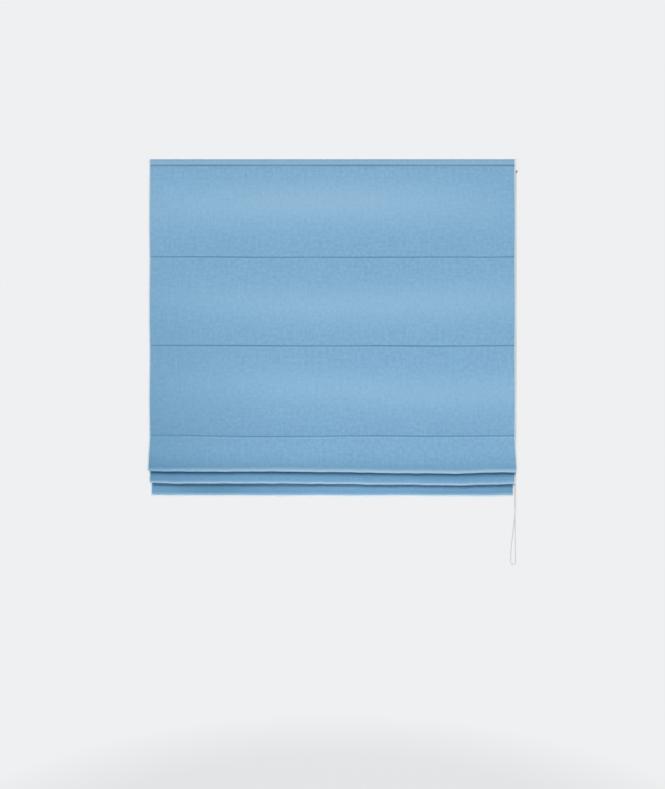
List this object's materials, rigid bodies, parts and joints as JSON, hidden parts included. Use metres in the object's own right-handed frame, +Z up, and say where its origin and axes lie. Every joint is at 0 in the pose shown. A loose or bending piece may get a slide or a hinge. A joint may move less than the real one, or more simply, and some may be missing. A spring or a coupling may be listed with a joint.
{
  "type": "roman blind",
  "caption": "Window blind of lined cloth on stiffening rods that folds into a stack, raised by cords from a headrail with a bead-chain drive.",
  "frame": {"origin": "centre of the four bracket screw holes, on the lintel's face", "axes": "+X along the headrail towards the chain, +Y away from the room, +Z up to the lintel"},
  "size_m": [1.1091, 0.0679, 1.2258],
  "materials": {
    "face_cloth": "woven blue cotton",
    "lining_cloth": "plain pale lining",
    "rail_white": "white powder coat",
    "bracket_steel": "white enamel on steel",
    "moulded_white": "white moulding",
    "chain_plastic": "pale grey beads",
    "cord_white": "braided white cord",
    "rod_glassfibre": "glass-fibre rod",
    "bare_aluminium": "mill finish",
    "spring_steel": "bright spring wire",
    "tape_white": "hook and loop tape"
  },
  "bodies": {
    "head": {"headrail": "rail_white", "bracket_left": "bracket_steel", "bracket_right": "bracket_steel", "hook_tape": "tape_white", "loop_tape": "tape_white", "face_fabric": "face_cloth", "lining": "lining_cloth", "idle_end_cap": "moulded_white", "drive_housing": "moulded_white", "chain_guard": "moulded_white", "brake_core": "moulded_white", "bead_chain": "chain_plastic", "spool_cradle_1": "moulded_white", "spool_cradle_2": "moulded_white", "spool_cradle_3": "moulded_white", "lift_cord_1": "cord_white", "lift_cord_2": "cord_white", "lift_cord_3": "cord_white"},
    "drive": {"drive_shaft": "bare_aluminium", "cord_spools": "moulded_white", "chain_wheel": "moulded_white", "brake_spring": "spring_steel", "spring_driver": "moulded_white", "idle_bush": "moulded_white"},
    "first_rod": {"rod_1": "rod_glassfibre", "cord_rings_1": "moulded_white"},
    "second_rod": {"rod_2": "rod_glassfibre", "cord_rings_2": "moulded_white"},
    "third_rod": {"rod_3": "rod_glassfibre", "cord_rings_3": "moulded_white"},
    "fourth_rod": {"rod_4": "rod_glassfibre", "cord_rings_4": "moulded_white"},
    "hem_bar": {"rod_5": "rod_glassfibre", "cord_rings_5": "moulded_white", "bottom_bar": "bare_aluminium", "bottom_bar_caps": "moulded_white", "cord_adjusters": "moulded_white"}
  },
  "joints": [
    {"name": "raise", "type": "slide", "parent": "head", "child": "third_rod", "axis": [0, 0, 1], "range_m": [0, 0.71], "deforming": ["face_fabric", "lining", "lift_cord_1", "lift_cord_2", "lift_cord_3", "bead_chain"]},
    {"name": "rod_1_rise", "type": "slide", "parent": "head", "child": "first_rod", "axis": [0, 0, 1], "range_m": [0, 0.2395]},
    {"name": "rod_2_rise", "type": "slide", "parent": "head", "child": "second_rod", "axis": [0, 0, 1], "range_m": [0, 0.475]},
    {"name": "drive_turn", "type": "hinge", "parent": "head", "child": "drive", "pos_m": [0, 0, -0.0216], "axis": [1, 0, 0], "range_deg": [-5988, 0]},
    {"name": "open_fold_1", "type": "slide", "parent": "third_rod", "child": "fourth_rod", "axis": [0, 0, 1], "range_m": [-0.19, 0]},
    {"name": "open_fold_2", "type": "slide", "parent": "fourth_rod", "child": "hem_bar", "axis": [0, 0, 1], "range_m": [-0.2, 0]}
  ],
  "couplings": [
    {"joint": "rod_1_rise", "follows": "raise", "ratio": 0.33663},
    {"joint": "rod_2_rise", "follows": "raise", "ratio": 0.66831},
    {"joint": "drive_turn", "follows": "raise", "rad_per_m": -147.06}
  ]
}
